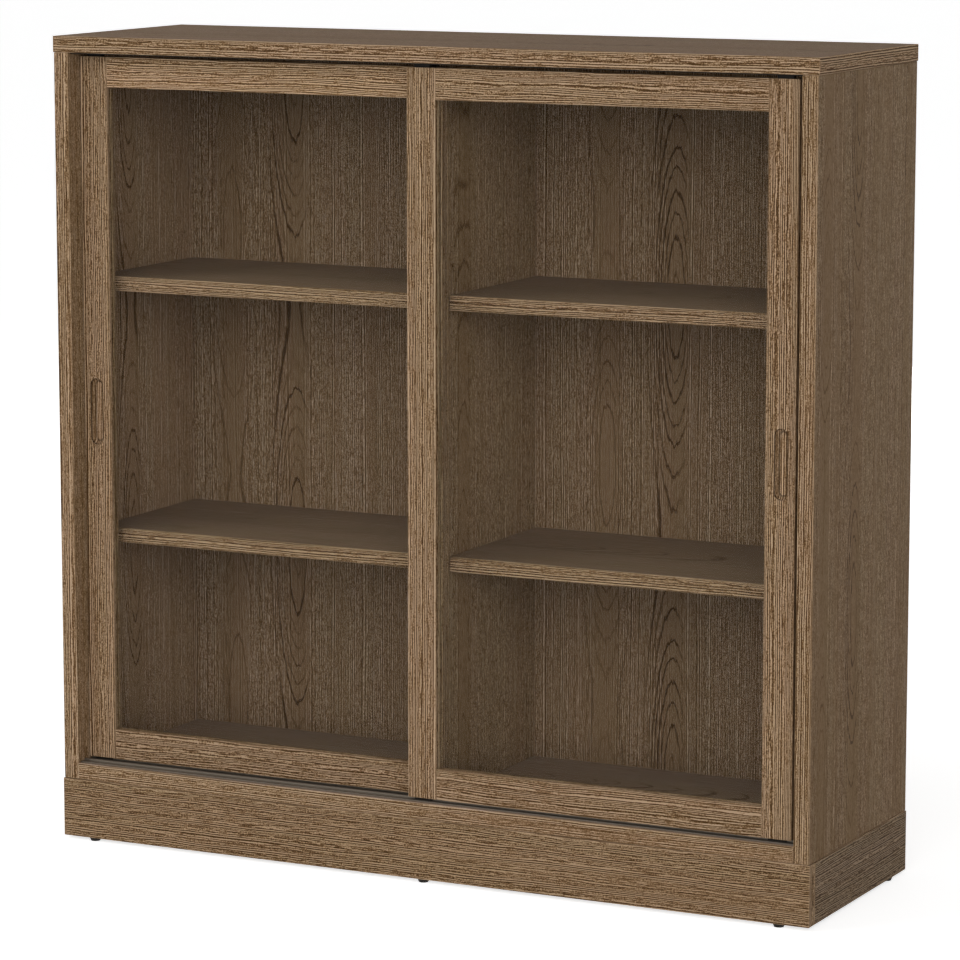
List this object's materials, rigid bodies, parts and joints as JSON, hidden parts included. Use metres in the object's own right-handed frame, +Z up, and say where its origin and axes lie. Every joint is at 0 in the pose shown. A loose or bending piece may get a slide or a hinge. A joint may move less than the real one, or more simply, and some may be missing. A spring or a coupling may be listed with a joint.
{
  "type": "bookcase with sliding doors",
  "caption": "Low wide bookcase on a closed plinth, with a centre partition, adjustable shelves and framed glass doors that slide past each other.",
  "frame": {"origin": "on the floor, under the middle of the case's outer box", "axes": "+X to the viewer's right along the width, +Y from the front to the back, +Z up"},
  "size_m": [1.21, 0.37, 1.205],
  "materials": {
    "oak_veneer": "brown stained oak veneer, matt clear lacquer",
    "back_board": "brown stained oak veneer inside, plain brown board behind",
    "door_glass": "clear, lightly tinted",
    "track_metal": "satin",
    "black_plastic": "fine texture",
    "pin_steel": "zinc plated"
  },
  "bodies": {
    "case": {"top_panel": "oak_veneer", "left_side_panel": "oak_veneer", "right_side_panel": "oak_veneer", "bottom_panel": "oak_veneer", "centre_partition": "oak_veneer", "left_back_panel": "back_board", "right_back_panel": "back_board", "plinth_front": "oak_veneer", "plinth_left": "oak_veneer", "plinth_right": "oak_veneer", "plinth_back": "oak_veneer", "plinth_centre_brace": "oak_veneer", "foot_front_left": "black_plastic", "foot_front_centre": "black_plastic", "foot_front_right": "black_plastic", "foot_side_left": "black_plastic", "foot_side_right": "black_plastic", "foot_back_centre": "black_plastic", "lower_track": "track_metal", "upper_track": "black_plastic", "shelf_lower_left": "oak_veneer", "shelf_upper_left": "oak_veneer", "shelf_lower_right": "oak_veneer", "shelf_upper_right": "oak_veneer", "shelf_pin_lower_left_front_1": "pin_steel", "shelf_pin_lower_left_front_2": "pin_steel", "shelf_pin_lower_left_back_1": "pin_steel", "shelf_pin_lower_left_back_2": "pin_steel", "shelf_pin_upper_left_front_1": "pin_steel", "shelf_pin_upper_left_front_2": "pin_steel", "shelf_pin_upper_left_back_1": "pin_steel", "shelf_pin_upper_left_back_2": "pin_steel", "shelf_pin_lower_right_front_1": "pin_steel", "shelf_pin_lower_right_front_2": "pin_steel", "shelf_pin_lower_right_back_1": "pin_steel", "shelf_pin_lower_right_back_2": "pin_steel", "shelf_pin_upper_right_front_1": "pin_steel", "shelf_pin_upper_right_front_2": "pin_steel", "shelf_pin_upper_right_back_1": "pin_steel", "shelf_pin_upper_right_back_2": "pin_steel"},
    "left_door": {"left_door_outer_stile": "oak_veneer", "left_door_inner_stile": "oak_veneer", "left_door_bottom_rail": "oak_veneer", "left_door_top_rail": "oak_veneer", "left_door_glass": "door_glass", "left_door_outer_shoe": "black_plastic", "left_door_outer_guide": "black_plastic", "left_door_inner_shoe": "black_plastic", "left_door_inner_guide": "black_plastic"},
    "right_door": {"right_door_outer_stile": "oak_veneer", "right_door_inner_stile": "oak_veneer", "right_door_bottom_rail": "oak_veneer", "right_door_top_rail": "oak_veneer", "right_door_glass": "door_glass", "right_door_outer_shoe": "black_plastic", "right_door_outer_guide": "black_plastic", "right_door_inner_shoe": "black_plastic", "right_door_inner_guide": "black_plastic"}
  },
  "joints": [
    {"name": "left_door_slide", "type": "slide", "parent": "case", "child": "left_door", "axis": [1, 0, 0], "range_m": [0, 0.5595]},
    {"name": "right_door_slide", "type": "slide", "parent": "case", "child": "right_door", "axis": [1, 0, 0], "range_m": [-0.553, 0.0065]}
  ]
}
